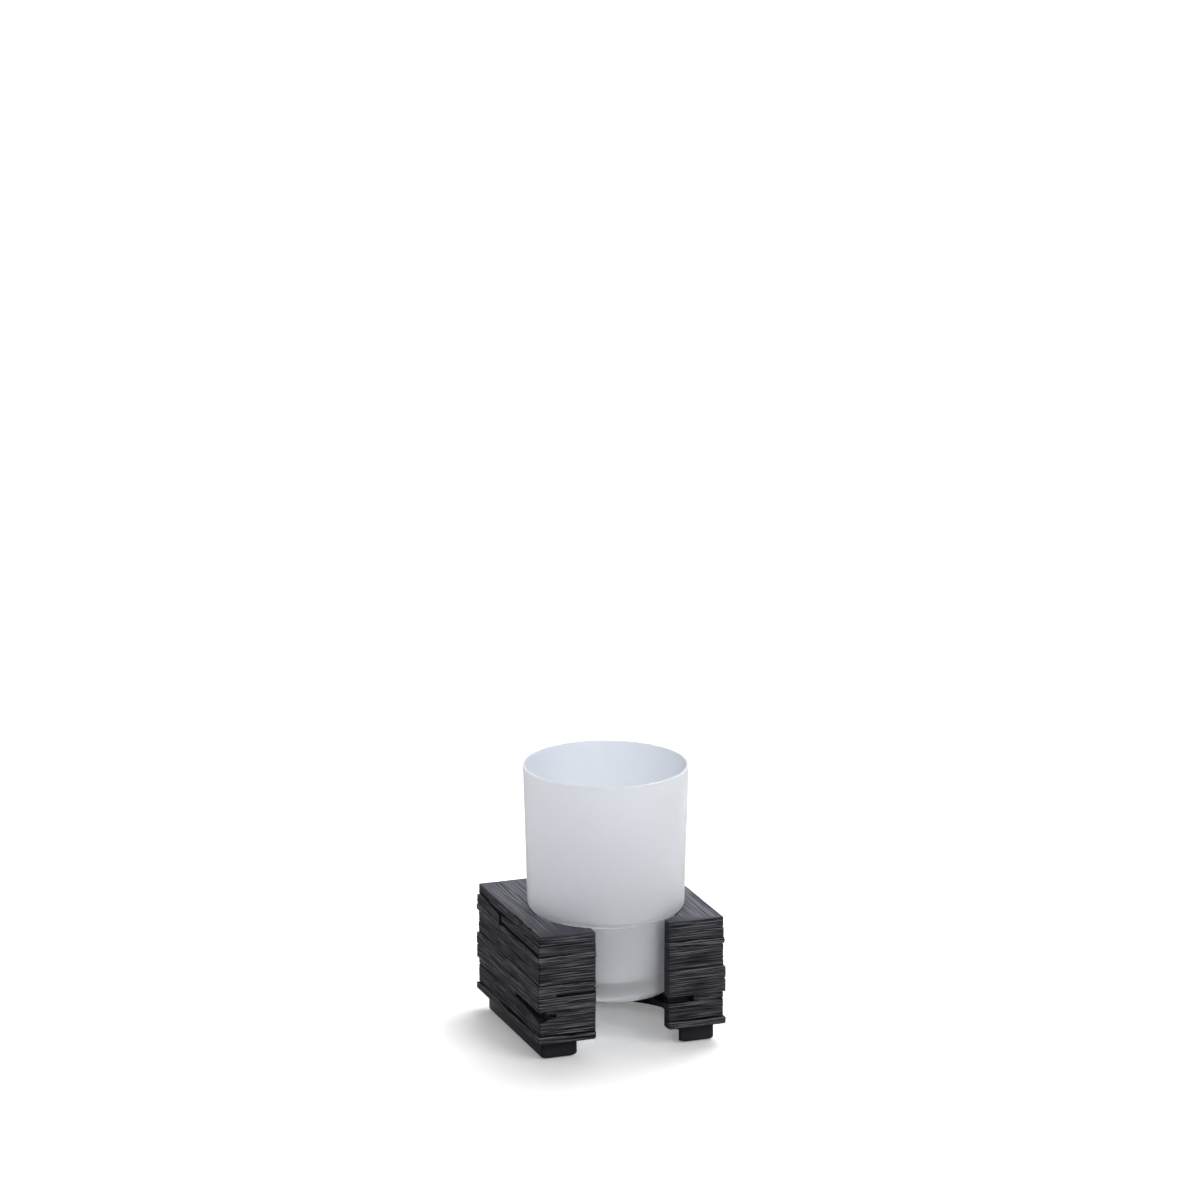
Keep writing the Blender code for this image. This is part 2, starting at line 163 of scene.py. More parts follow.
def mottleGroup():
    tree = bpy.data.node_groups.new("mottle", "ShaderNodeTree")
    addSockets(tree, "INPUT", (
        ("Vector", "Vector", None), ("Patch Scale", "Float", 60.0), ("Grain Scale", "Float", 900.0),
        ("Dark", "Color", (0.02, 0.02, 0.02, 1)), ("Light", "Color", (0.03, 0.03, 0.03, 1)),
        ("Smoothest", "Float", 0.4), ("Roughest", "Float", 0.5)))
    addSockets(tree, "OUTPUT", (
        ("Color", "Color", None), ("Roughness", "Float", None), ("Height", "Float", None)))
    given = tree.nodes.new("NodeGroupInput").outputs
    patches = addNode(tree, "ShaderNodeTexNoise", {
        "Vector": given["Vector"], "Scale": given["Patch Scale"], "Detail": 3.0}).outputs["Fac"]
    grain = addNode(tree, "ShaderNodeTexNoise", {
        "Vector": given["Vector"], "Scale": given["Grain Scale"], "Detail": 2.0}).outputs["Fac"]
    mask = remap(tree, maths(tree, "ADD", patches, grain), 0.75, 1.25, 0.0, 1.0)
    result = tree.nodes.new("NodeGroupOutput").inputs
    plug(tree, mixColors(tree, mask, given["Dark"], given["Light"]), result["Color"])
    further = product(tree, mask, maths(tree, "SUBTRACT", given["Roughest"], given["Smoothest"]))
    plug(tree, maths(tree, "ADD", given["Smoothest"], further), result["Roughness"])
    plug(tree, grain, result["Height"])
    return tree


mottle = mottleGroup()


def addMaterial(name, look, shaderValues):
    # a material with the shared mottling on its Principled shader
    material = bpy.data.materials.new(name)
    material.use_nodes = True
    tree = material.node_tree
    shader = tree.nodes["Principled BSDF"]
    for socket, value in shaderValues.items():
        shader.inputs[socket].default_value = value
    place = tree.nodes.new("ShaderNodeTexCoord").outputs["Object"]
    finish = addNode(tree, "ShaderNodeGroup", node_tree=mottle)
    plug(tree, place, finish.inputs["Vector"])
    for socket in ("Patch Scale", "Grain Scale", "Dark", "Light", "Smoothest", "Roughest"):
        plug(tree, look[socket], finish.inputs[socket])
    bump = addNode(tree, "ShaderNodeBump", {
        "Height": finish.outputs["Height"], "Strength": look["bump"], "Distance": look["bumpDepth"] * mm})
    plug(tree, finish.outputs["Color"], shader.inputs["Base Color"])
    plug(tree, finish.outputs["Roughness"], shader.inputs["Roughness"])
    plug(tree, bump.outputs["Normal"], shader.inputs["Normal"])
    return material


# Holder block: courses of thin split layers on the sides, lanes from front to back on the top

block = {
    "halfWidth": 40.0, "frontY": -37.42, "backY": 39.0, "bottomZ": 8.2, "topZ": 54.2,
    "pocketRadius": 31.5, "pocketY": -5.9, "slotHalf": 15.5,
    "cornerRound": 0.45, "lipRound": 1.2, "bottomRound": 0.9, "topRound": 0.35, "courseRound": 0.5,
    "courseShares": (0.070, 0.172, 0.058, 0.126, 0.118, 0.104, 0.104, 0.065, 0.087, 0.096),
    "courseReach": (  # right, back, left, front
        (0.95, 0.80, 0.95, 0.80), (0.00, 0.10, 0.10, 0.00), (0.05, 0.00, 0.10, 0.05),
        (0.90, 0.60, 0.80, 0.50), (0.85, 0.75, 0.85, 0.60), (0.05, 0.15, 0.15, 0.00),
        (0.00, 0.05, 0.10, 0.05), (0.30, 0.60, 0.90, 0.80), (0.10, 0.30, 0.70, 0.20),
        (0.00, 0.00, 0.00, 0.00)),
    "courseTone": (0.60, 0.30, 0.40, 0.75, 0.65, 0.40, 0.35, 0.80, 0.40, 0.50),
    "jointStrength": (0.0, 1.0, 0.9, 0.8, 0.65, 0.9, 0.35, 0.85, 0.9, 0.6),  # below each course
    "jointDepth": 0.4, "jointShare": 0.36, "layerHeight": 1.05, "layerSpread": 0.35, "layerEdgeShare": 0.14,
    "layerGroove": 0.6, "overhang": 0.3,  # a course that stands out further gets painted highlight on its edges
    "bottomSteps": (0.0, 0.13, 0.5), "topDrops": (1.2, 0.8, 0.5, 0.25, 0.065, 0.0),
    "rimHeight": 0.4, "rimShare": 0.4, "rimShadeLine": (0.2, 0.6), "cornerBend": 0.3,
    "columnSpacing": 0.95, "pocketSteps": 56, "pocketEnds": 4, "cornerSteps": 4,
    "laneSpacing": 0.28, "laneStep": 1.6, "laneStretch": 0.35, "seed": 7,
    "laneMargins": {"left": 0.75, "right": 0.7, "ends": 0.9, "pocket": 0.35, "slot": 1.6},
}
relief = {
    "Layer Depth": 0.24 * mm, "Layer Length": 26 * mm, "Groove Depth": 0.45 * mm, "Groove Length": 22 * mm,
    "Wave Height": 0.13 * mm, "Wave Length": 13 * mm, "Chip Depth": 0.30 * mm, "Chip Length": 2.6 * mm,
    "Highlight Length": 24 * mm, "Lane Depth": 0.24 * mm, "Lane Pitch": 0.55 * mm, "Lane Length": 75 * mm,
    "Front": -37.4 * mm, "Front Fade": 25 * mm, "Slot Half": block["slotHalf"] * mm,
    "Half Width": block["halfWidth"] * mm, "Side Share": 0.2, "Right Share": 0.3, "Seed": 4.0,
}


def blockOutline(size, reach, fall=0.0, leftFall=0.0, rightFall=0.0):
    right, back = size["halfWidth"] + reach[0] - fall, size["backY"] + reach[1] - fall
    left, front = -size["halfWidth"] - reach[2] + fall, size["frontY"] - reach[3] + fall
    corner, lip, turns = size["cornerRound"], size["lipRound"], size["cornerSteps"]
    slotRight, slotLeft = size["slotHalf"] + rightFall, -size["slotHalf"] - leftFall
    frontSteps = round((size["halfWidth"] - size["slotHalf"]) / size["columnSpacing"])
    sideSteps = round((size["backY"] - size["frontY"]) / size["columnSpacing"])
    backSteps = round(2 * size["halfWidth"] / size["columnSpacing"])
    points = arc(slotRight + lip, front + lip, lip, pi, 1.5 * pi, turns)
    points += between(points[-1], (right - corner, front), frontSteps)
    points += arc(right - corner, front + corner, corner, -pi / 2, 0, turns)
    points += between(points[-1], (right, back - corner), sideSteps)
    points += arc(right - corner, back - corner, corner, 0, pi / 2, turns)
    points += between(points[-1], (left + corner, back), backSteps)
    points += arc(left + corner, back - corner, corner, pi / 2, pi, turns)
    points += between(points[-1], (left, front + corner), sideSteps)
    points += arc(left + corner, front + corner, corner, pi, 1.5 * pi, turns)
    points += between(points[-1], (slotLeft - lip, front), frontSteps)
    points += arc(slotLeft - lip, front + lip, lip, -pi / 2, 0, turns)
    outer = len(points)
    radius = size["pocketRadius"]
    start = -pi + acos(-slotLeft / radius)
    end = -2 * pi - acos(slotRight / radius)
    pocket = arc(0, size["pocketY"], radius, start, end, size["pocketSteps"])
    ends = size["pocketEnds"]
    points += between(points[-1], pocket[0], ends) + pocket + between(pocket[-1], points[0], ends)
    return np.array(points), outer


def blockRows(size):
    # one outline at each height, with what the layers are shaped from
    rng = np.random.default_rng(size["seed"])
    shares = np.array(size["courseShares"])
    levels = size["bottomZ"] + (size["topZ"] - size["bottomZ"]) * np.concatenate(
        ([0], np.cumsum(shares / shares.sum())))
    reaches = [np.array(reach) for reach in size["courseReach"]]
    last = len(shares) - 1
    rows, layer = [], 1

    def addRow(z, reach, tone, rough, fall=0.0, leftFall=0.0, rightFall=0.0, number=0, **masks):
        rows.append({"z": z, "reach": reach, "tone": tone, "rough": rough, "fall": fall, "leftFall": leftFall,
                     "rightFall": rightFall, "layer": number, "rise": 0, "wave": 0, "groove": 0, "edge": 0,
                     "arris": 0, **masks})

    for share in size["bottomSteps"]:
        fall = roundOver(share * size["bottomRound"], size["bottomRound"])
        addRow(levels[0] + share * size["bottomRound"], reaches[0], size["courseTone"][0], share,
               fall, fall, fall)
    for course, reach in enumerate(reaches):
        low, high = levels[course], levels[course + 1]
        below = reaches[course - 1] if course else reach
        above = reaches[course + 1] if course < last else reach
        start = low + (size["bottomRound"] if course == 0 else 0)
        end = high - (size["lipRound"] if course == last else 0)
        count = max(2, round((end - start) / size["layerHeight"]))
        thick = rng.uniform(1 - size["layerSpread"], 1 + size["layerSpread"], count)
        cuts = start + (end - start) * np.concatenate(([0], np.cumsum(thick / thick.sum())))
        for i in range(count):
            height = cuts[i + 1] - cuts[i]
            first, final = course == 0 and i == 0, course == last and i == count - 1
            overBelow = (reach - below).max() if i == 0 else 0
            overAbove = (reach - above).max() if i == count - 1 else 0
            joint, plain = size["jointShare"], size["layerEdgeShare"]
            lowest = joint if i == 0 and course else plain
            highest = 1 - (joint if i == count - 1 and course < last else plain)
            for rise in (0.0, lowest, 0.5, highest):
                z = cuts[i] + rise * height
                out = reach.copy()
                for side in range(4):
                    for away, beside in ((z - low, below), (high - z, above)):
                        radius = min(size["courseRound"], max(1e-6, reach[side] - beside[side]))
                        out[side] -= roundOver(away, radius)
                if rise == 0 and i == 0 and course:
                    out = np.minimum(reach, below) - size["jointDepth"] * size["jointStrength"][course]
                highlightAt = (rise == lowest and overBelow > size["overhang"]
                        or rise == highest and overAbove > size["overhang"])
                groove = size["jointStrength"][course] if i == 0 else size["layerGroove"]
                addRow(z, out, size["courseTone"][course], 1, number=layer, rise=rise,
                       wave=rise if first else 1 - rise if final else 1,
                       groove=0 if rise or first else groove,
                       edge=float(max(overBelow, overAbove) > size["overhang"] and rise > 0),
                       arris=float(highlightAt))
            layer += 1
    for drop in size["topDrops"]:
        addRow(levels[-1] - drop, reaches[-1], size["courseTone"][-1], min(1.0, drop / size["rimHeight"]),
               roundOver(drop, size["topRound"]), roundOver(drop, size["lipRound"]), number=layer)
    return rows


def fillCap(loop, inner, scale):
    # triangles over a closed loop and the points inside it, as numbers into loop + inner
    points = [Vector((x / scale[0], y / scale[1])) for x, y in list(loop) + list(inner)]
    count = len(loop)
    edges = [(i, (i + 1) % count) for i in range(count)]
    _, _, triangles, origins, _, _ = delaunay_2d_cdt(points, edges, [], 1, 1e-7)
    return [[origins[i][0] for i in triangle] for triangle in triangles]


def topPoints(size):
    # lanes of points on the top, away from its edges
    margins, half = size["laneMargins"], size["halfWidth"]
    first, last = size["frontY"] + margins["ends"], size["backY"] - margins["ends"]
    points = []
    lanes = np.arange(-half + margins["left"], half - margins["right"], size["laneSpacing"])
    for lane, x in enumerate(lanes):
        for y in np.arange(first + 0.5 * size["laneStep"] * (lane % 2), last, size["laneStep"]):
            fromAxis = sqrt(x ** 2 + (y - size["pocketY"]) ** 2)
            nearSlot = abs(x) < size["slotHalf"] + margins["slot"] and y < size["pocketY"]
            if fromAxis > size["pocketRadius"] + margins["pocket"] and not nearSlot:
                points.append((x, y))
    return points


def blockMesh(size):
    rows = blockRows(size)
    nominal, outer = blockOutline(size, (0, 0, 0, 0))
    columns, count = len(nominal), len(rows)
    ahead, behind = np.roll(nominal, -1, 0), np.roll(nominal, 1, 0)
    tangent = (ahead - behind) / np.linalg.norm(ahead - behind, axis=1)[:, None]
    outward = np.stack([tangent[:, 1], -tangent[:, 0], np.zeros(columns)], 1)
    along = np.concatenate(([0], np.cumsum(np.linalg.norm(np.diff(nominal, axis=0), axis=1))))
    turns = size["cornerSteps"]
    roughColumn = np.zeros(columns)
    roughColumn[:outer] = 1.0
    roughColumn[:turns + 1] = np.linspace(0, 1, turns + 1)
    roughColumn[outer - turns - 1:outer] = np.linspace(1, 0, turns + 1)

    wall = []
    for row in rows:
        outline, _ = blockOutline(size, row["reach"], row["fall"], row["leftFall"], row["rightFall"])
        wall.append(np.column_stack([outline, np.full(columns, row["z"])]))
    wall = np.array(wall)
    verts = wall.reshape(-1, 3)
    faces, coords = [], []
    lengthAt = np.append(along, along[-1] + 1)
    for r in range(count - 1):
        low, high = rows[r]["z"], rows[r + 1]["z"]
        for c in range(columns):
            d = (c + 1) % columns
            faces.append((r * columns + c, r * columns + d, (r + 1) * columns + d, (r + 1) * columns + c))
            u, v = lengthAt[c], lengthAt[c + 1]
            coords += [(u, low), (v, low), (v, high), (u, high)]
    bottom = fillCap(wall[0][:, :2], [], (1, 1))
    for triangle in bottom:
        faces.append(tuple(reversed(triangle)))
        coords += [(wall[0][i][1], wall[0][i][0]) for i in reversed(triangle)]
    loop = wall[-1][:, :2]
    inner = topPoints(size)
    topStart = (count - 1) * columns
    allTop = list(map(tuple, loop)) + inner
    numbers = list(range(topStart, topStart + columns)) + list(range(len(verts), len(verts) + len(inner)))
    for triangle in fillCap(loop, inner, (size["laneSpacing"], size["laneStep"])):
        faces.append(tuple(numbers[i] for i in triangle))
        coords += [(allTop[i][1] * size["laneStretch"], allTop[i][0]) for i in triangle]
    verts = np.concatenate([verts, np.array([(x, y, size["topZ"]) for x, y in inner])])

    mesh = bpy.data.meshes.new("slateBlock")
    mesh.from_pydata((verts * mm).tolist(), [], faces)
    grain = mesh.uv_layers.new(name="grain")
    grain.data.foreach_set("uv", (np.array(coords) * mm).astype(np.float32).ravel())

    def store(name, rowValues, columnValues, topValue):
        field = (np.array(rowValues, float)[:, None] * np.array(columnValues, float)[None, :]).ravel()
        values = np.concatenate([field, np.full(len(inner), topValue)])
        mesh.attributes.new(name, "FLOAT", "POINT").data.foreach_set("value", values.astype(np.float32))

    ones = np.ones(columns)
    for name in ("layer", "rise", "wave", "groove", "edge", "arris"):
        store(name, [r[name] for r in rows], ones, 0)
    store("tone", [r["tone"] for r in rows], ones, 0.5)
    store("along", np.ones(count), along * mm, 0)
    store("rough", [r["rough"] for r in rows], roughColumn, 0)
    # masks for painted shade: the upright corners, the left side, and a line just below the rim
    bend = np.linalg.norm(np.roll(outward, -1, 0) - np.roll(outward, 1, 0), axis=1)
    corners = np.where(bend > size["cornerBend"], np.minimum(1, 2 * bend), 0)
    store("corner", [r["rough"] for r in rows], corners * roughColumn, 0)
    store("left", np.ones(count), np.maximum(0, -outward[:, 0]), 0)
    drops = [size["topZ"] - r["z"] for r in rows]
    low, high = size["rimShadeLine"]
    store("rimShade", [float(low < drop < high) for drop in drops], roughColumn, 0)
    store("top", [size["rimShare"] * max(0.0, 1 - drop / size["rimHeight"]) for drop in drops], ones, 1)
    vectors = np.concatenate([np.tile(outward, (count, 1)), np.zeros((len(inner), 3))])
    mesh.attributes.new("outward", "FLOAT_VECTOR", "POINT").data.foreach_set(
        "vector", vectors.astype(np.float32).ravel())
    return mesh


# For each effect of the layers: how far apart the layers lie in its noise, its own place there, and
# the two values of the noise that it runs between, with its strength at each.

wearAndHighlight = {
    "bulge": {"apart": 3.7, "place": 0.0, "detail": 3.0, "values": (0.3, 0.7, 0.0, 1.0)},
    "groove": {"apart": 5.1, "place": 20.0, "detail": 2.0, "values": (0.36, 0.58, 0.15, 1.0)},
    "chip": {"apart": 1.9, "place": 40.0, "detail": 2.0, "values": (0.58, 0.72, 0.0, 1.0)},
    # where the painted highlight falls on the upper edges of layers, and on the edges of courses
    "edgeHighlight": {"apart": 4.3, "place": 30.0, "detail": 2.0, "values": (0.42, 0.62, 0.0, 0.7)},
    "arris": (0.36, 0.52, 0.25, 1.0), "joint": (0.8, 1.0, 0.0, 1.0), "highlightRise": (0.5, 0.8, 0.0, 1.0),
    "waveApart": 2.3, "wavePlace": 60.0,
    "lanePlace": 80.0, "lane": (0.39, 0.44, 1.0, 0.0), "ridge": (0.56, 0.60, 0.0, 0.02),
    "driftPlace": 95.0, "driftAcross": 0.12, "driftAlong": 2.0, "driftShare": 0.8, "frontLeft": 0.12,
    # how far the painted highlight raises the height that the material reads, and how far the bulges and
    # grooves lower it into painted shade
    "plainHeight": 0.62, "edgeHighlightHeight": 0.38, "bulgeHeight": 0.14, "grooveHeight": 0.62,
    "laneHeight": 0.28, "laneGrit": 0.6,
}


def slateTree():
    tree, given = startTree("slateLayers", relief)

    def field(name, kind="FLOAT"):
        node = addNode(tree, "GeometryNodeInputNamedAttribute", {"Name": name}, data_type=kind)
        return node.outputs["Attribute"]

    def noiseAt(x, y, shift, detail=1.0):
        place = addNode(tree, "ShaderNodeCombineXYZ", {
            "X": x, "Y": y, "Z": maths(tree, "ADD", given["Seed"], shift)}).outputs[0]
        return addNode(tree, "ShaderNodeTexNoise", {
            "Vector": place, "Scale": 1.0, "Detail": detail, "Roughness": 0.5}).outputs["Fac"]

    def alongLayers(effect, length):
        run = maths(tree, "DIVIDE", along, given[length])
        return noiseAt(run, product(tree, layer, effect["apart"]), effect["place"], effect["detail"])

    along, layer, rise = field("along"), field("layer"), field("rise")
    rough, groove, top = field("rough"), field("groove"), field("top")

    # every layer stands back by its own changing depth, and the grooves between them come and go
    bulge = remap(tree, alongLayers(wearAndHighlight["bulge"], "Layer Length"), *wearAndHighlight["bulge"]["values"])
    cut = remap(tree, alongLayers(wearAndHighlight["groove"], "Groove Length"), *wearAndHighlight["groove"]["values"])
    cut = maths(tree, "MAXIMUM", cut, remap(tree, groove, *wearAndHighlight["joint"]))
    grooveCut = product(tree, groove, cut, given["Groove Depth"])
    chip = remap(tree, alongLayers(wearAndHighlight["chip"], "Chip Length"), *wearAndHighlight["chip"]["values"])
    chipCut = product(tree, field("edge"), chip, given["Chip Depth"])
    inward = maths(tree, "ADD", product(tree, bulge, given["Layer Depth"]),
                   maths(tree, "ADD", grooveCut, chipCut))
    inward = product(tree, inward, rough, -1.0)

    # the joints run slightly wavy
    run = maths(tree, "DIVIDE", along, given["Wave Length"])
    lower = noiseAt(run, product(tree, layer, wearAndHighlight["waveApart"]), wearAndHighlight["wavePlace"])
    above = maths(tree, "ADD", layer, 1.0)
    upper = noiseAt(run, product(tree, above, wearAndHighlight["waveApart"]), wearAndHighlight["wavePlace"])
    wave = maths(tree, "SUBTRACT", mixFloats(tree, rise, lower, upper), 0.5)
    wave = product(tree, wave, 2.0, given["Wave Height"], rough, field("wave"))

    # painted highlight: the upper edge of a layer is painted pale here and there, and the edge of a course
    # nearly everywhere
    highlightAt = alongLayers(wearAndHighlight["edgeHighlight"], "Highlight Length")
    edgeHighlight = product(tree, remap(tree, rise, *wearAndHighlight["highlightRise"]), remap(tree, highlightAt, *wearAndHighlight["edgeHighlight"]["values"]))
    edgeHighlight = maths(tree, "MAXIMUM", edgeHighlight, product(tree, field("arris"), remap(tree, highlightAt, *wearAndHighlight["arris"])))

    # lanes on the top, which fade towards the front edge, and furthest back beside the slot
    place = addNode(tree, "ShaderNodeSeparateXYZ", {
        "Vector": tree.nodes.new("GeometryNodeInputPosition").outputs[0]}).outputs
    across = maths(tree, "DIVIDE", place["X"], given["Lane Pitch"])
    forward = maths(tree, "DIVIDE", place["Y"], given["Lane Length"])
    lanes = noiseAt(across, forward, wearAndHighlight["lanePlace"])
    lane = remap(tree, lanes, *wearAndHighlight["lane"])
    aside = maths(tree, "ABSOLUTE", place["X"])
    sideShare = remap(tree, aside, given["Slot Half"], given["Half Width"], 1.0, given["Side Share"])
    rightShare = remap(tree, place["X"], -mm, mm, 1.0, given["Right Share"])
    reach = product(tree, sideShare, rightShare, given["Front Fade"])
    drift = noiseAt(product(tree, across, wearAndHighlight["driftAcross"]), product(tree, forward, wearAndHighlight["driftAlong"]),
                    wearAndHighlight["driftPlace"])
    drift = product(tree, drift, reach, wearAndHighlight["driftShare"])
    fade = remap(tree, maths(tree, "SUBTRACT", place["Y"], drift), given["Front"],
                 maths(tree, "ADD", given["Front"], reach), wearAndHighlight["frontLeft"], 1.0)
    laneCut = product(tree, top, lane, fade, given["Lane Depth"], -1.0)

    offset = addNode(tree, "ShaderNodeVectorMath", {
        0: field("outward", "FLOAT_VECTOR"), "Scale": inward}, operation="SCALE").outputs[0]
    lift = addNode(tree, "ShaderNodeCombineXYZ", {"Z": maths(tree, "ADD", wave, laneCut)}).outputs[0]
    offset = addNode(tree, "ShaderNodeVectorMath", {0: offset, 1: lift}).outputs[0]
    moved = addNode(tree, "GeometryNodeSetPosition", {
        "Geometry": given["Geometry"], "Offset": offset}).outputs["Geometry"]

    # what the material reads: low to high, from which it paints shade in the grooves and highlight on the
    # edges, how broken the surface is, and the smooth front of the top
    raised = maths(tree, "ADD", wearAndHighlight["plainHeight"], product(tree, edgeHighlight, wearAndHighlight["edgeHighlightHeight"]))
    lowered = maths(tree, "ADD", product(tree, bulge, wearAndHighlight["bulgeHeight"]),
                    product(tree, groove, cut, wearAndHighlight["grooveHeight"]))
    ridge = product(tree, remap(tree, lanes, *wearAndHighlight["ridge"]), fade)
    lined = maths(tree, "SUBTRACT", maths(tree, "ADD", wearAndHighlight["plainHeight"], ridge),
                  product(tree, lane, fade, wearAndHighlight["laneHeight"]))
    seen = {
        "height": mixFloats(tree, top, maths(tree, "SUBTRACT", raised, lowered), lined),
        "grit": mixFloats(tree, top, rough, product(tree, fade, wearAndHighlight["laneGrit"])),
        "smoothFront": product(tree, top, maths(tree, "SUBTRACT", 1.0, fade)),
    }
    for name, value in seen.items():
        moved = addNode(tree, "GeometryNodeStoreNamedAttribute", {
            "Geometry": moved, "Name": name, "Value": value}, data_type="FLOAT",
            domain="POINT").outputs["Geometry"]
    return endTree(tree, moved, given["Material"])


# Gaps where a piece of a course is missing, as low and high corners, anticlockwise from above.
# A gap that runs into another is cut in the second round.

gaps = {
    "rightGap": {"round": 1, "jitter": 0.16, "corners": (
        (13.5, -39.5, 19.33), (26.6, -39.5, 19.33), (26.6, -33.92, 19.33), (13.5, -33.92, 19.33),
        (13.5, -39.5, 22.0), (26.6, -39.5, 22.0), (26.6, -33.92, 22.0), (13.5, -33.92, 22.0))},
    "slit": {"round": 1, "jitter": 0.05, "corners": (
        (-33.0, -39.5, 28.15), (-13.5, -39.5, 28.60), (-13.5, -34.92, 28.60), (-33.0, -34.92, 28.15),
        (-33.0, -39.5, 28.85), (-13.5, -39.5, 29.20), (-13.5, -34.92, 29.20), (-33.0, -34.92, 28.85))},
    "lipNotch": {"round": 1, "jitter": 0.10, "corners": (
        (-16.4, -39.5, 30.1), (-13.5, -39.5, 30.1), (-13.5, -33.9, 29.7), (-16.3, -33.9, 29.7),
        (-16.4, -39.5, 31.5), (-13.5, -39.5, 31.5), (-13.5, -33.9, 31.4), (-16.3, -33.9, 31.4))},
    "leftGap": {"round": 1, "jitter": 0.16, "corners": (
        (-42.0, -39.5, 17.95), (-37.4, -39.5, 17.95), (-37.4, -8.42, 20.15), (-42.0, -8.42, 20.15),
        (-42.0, -39.5, 21.75), (-37.4, -39.5, 21.75), (-37.4, -8.42, 21.75), (-42.0, -8.42, 21.75))},
    "cornerGap": {"round": 2, "jitter": 0.28, "corners": (
        (-42.0, -39.5, 18.45), (-32.8, -39.5, 19.3), (-32.8, -35.22, 19.3), (-42.0, -35.22, 18.45),
        (-42.0, -39.5, 20.55), (-32.8, -39.5, 20.55), (-32.8, -35.22, 20.55), (-42.0, -35.22, 20.55))},
    "edgeGroove": {"round": 1, "jitter": 0.08, "corners": (
        (-42.0, -37.0, 45.55), (-38.9, -37.0, 45.55), (-38.9, 9.58, 45.70), (-42.0, 9.58, 45.70),
        (-42.0, -37.0, 47.10), (-39.3, -37.0, 46.90), (-39.1, 9.58, 46.98), (-42.0, 9.58, 46.98))},
    "backGroove": {"round": 1, "jitter": 0.06, "corners": (
        (-42.0, 10.08, 49.00), (-39.5, 10.08, 49.00), (-39.5, 37.5, 50.55), (-42.0, 37.5, 50.55),
        (-42.0, 10.08, 49.75), (-39.5, 10.08, 49.60), (-39.5, 37.5, 51.00), (-42.0, 37.5, 51.10))},
    "edgeNotch": {"round": 2, "jitter": 0.12, "corners": (
        (-42.0, 8.38, 45.23), (-39.45, 8.38, 45.23), (-39.45, 10.58, 45.23), (-42.0, 10.58, 45.23),
        (-42.0, 8.38, 49.45), (-39.45, 8.38, 49.35), (-39.45, 10.98, 49.45), (-42.0, 10.98, 49.55))},
    "topNick": {"round": 1, "jitter": 0.10, "corners": (
        (-42.0, -16.4, 53.3), (-39.5, -16.4, 53.3), (-39.5, -6.6, 53.6), (-42.0, -6.6, 53.6),
        (-42.0, -16.4, 55.0), (-39.4, -16.4, 55.0), (-39.4, -6.6, 55.0), (-42.0, -6.6, 55.0))},
    "topNickFront": {"round": 1, "jitter": 0.10, "corners": (
        (-42.0, -27.2, 53.4), (-39.6, -27.2, 53.4), (-39.6, -23.8, 53.6), (-42.0, -23.8, 53.6),
        (-42.0, -27.2, 55.0), (-39.5, -27.2, 55.0), (-39.5, -23.8, 55.0), (-42.0, -23.8, 55.0))},
}
# painted shade: the faces inside a gap get a low height, so the material paints them darker
gapShapeAndShade = {"steps": 8, "jitterScale": 0.45, "seed": 3, "height": 0.36, "tone": 0.5}


def boxSurface(steps):
    # points and outward faces of a block from 0 to 1, with every side divided evenly
    numbers, faces = {}, []
    for axis in range(3):
        for side in (0, steps):
            for i in range(steps):
                for j in range(steps):
                    corners = [(i, j), (i + 1, j), (i + 1, j + 1), (i, j + 1)]
                    if (side == 0) != (axis == 1):
                        corners.reverse()
                    places = [corner[:axis] + (side,) + corner[axis:] for corner in corners]
                    faces.append([numbers.setdefault(place, len(numbers)) for place in places])
    return [[value / steps for value in place] for place in numbers], faces


def gapCutter(name, chosen, finish):
    # one mesh of separate blocks, each between eight corners and with slightly broken faces
    noise.seed_set(finish["seed"])
    points, blockFaces = boxSurface(finish["steps"])
    verts, faces = [], []
    for gap in chosen:
        faces += [[number + len(verts) for number in face] for face in blockFaces]
        low, high = np.array(gap["corners"][:4]), np.array(gap["corners"][4:])
        for x, y, z in points:
            across = [(1 - x) * (1 - y), x * (1 - y), x * y, (1 - x) * y]
            place = Vector((1 - z) * (across @ low) + z * (across @ high))
            broken = noise.noise_vector(place * finish["jitterScale"]) * gap["jitter"]
            verts.append((place + broken) * mm)
    mesh = bpy.data.meshes.new(name)
    mesh.from_pydata(verts, [], faces)
    # the height paints shade on the faces inside the gaps; the tone is a middle one
    for mask in ("height", "tone"):
        mesh.attributes.new(mask, "FLOAT", "POINT").data.foreach_set("value", [finish[mask]] * len(verts))
    mesh.materials.append(slate)  # so that the cut adds no empty slot
    cutter = bpy.data.objects.new(name, mesh)
    bpy.context.scene.collection.objects.link(cutter)
    return cutter


